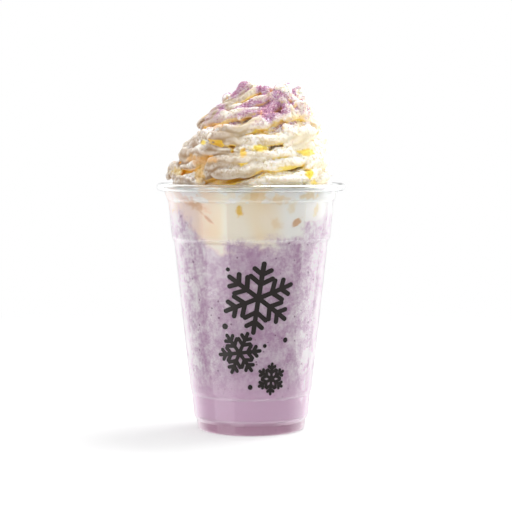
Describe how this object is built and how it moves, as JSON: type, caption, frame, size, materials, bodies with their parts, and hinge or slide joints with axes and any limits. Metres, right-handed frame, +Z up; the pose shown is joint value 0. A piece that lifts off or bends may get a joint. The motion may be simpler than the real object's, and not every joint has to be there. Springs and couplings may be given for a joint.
{
  "type": "taro frappe",
  "caption": "Blended taro drink in a clear tapered cold-drink cup with a rolled rim and stacking steps, topped with a tall piped spiral of whipped cream.",
  "frame": {"origin": "centre of the ring that the cup stands on, at the surface under it", "axes": "+Z up along the cup's axis, -Y towards the side that the print faces"},
  "size_m": [0.095, 0.095, 0.1768],
  "materials": {
    "clear_cup": "clear, glossy",
    "taro_drink": "wet blended ice",
    "whipped_cream": "soft satin"
  },
  "bodies": {
    "root": {"cup": "clear_cup", "taro_drink": "taro_drink", "whipped_cream": "whipped_cream"}
  },
  "joints": []
}
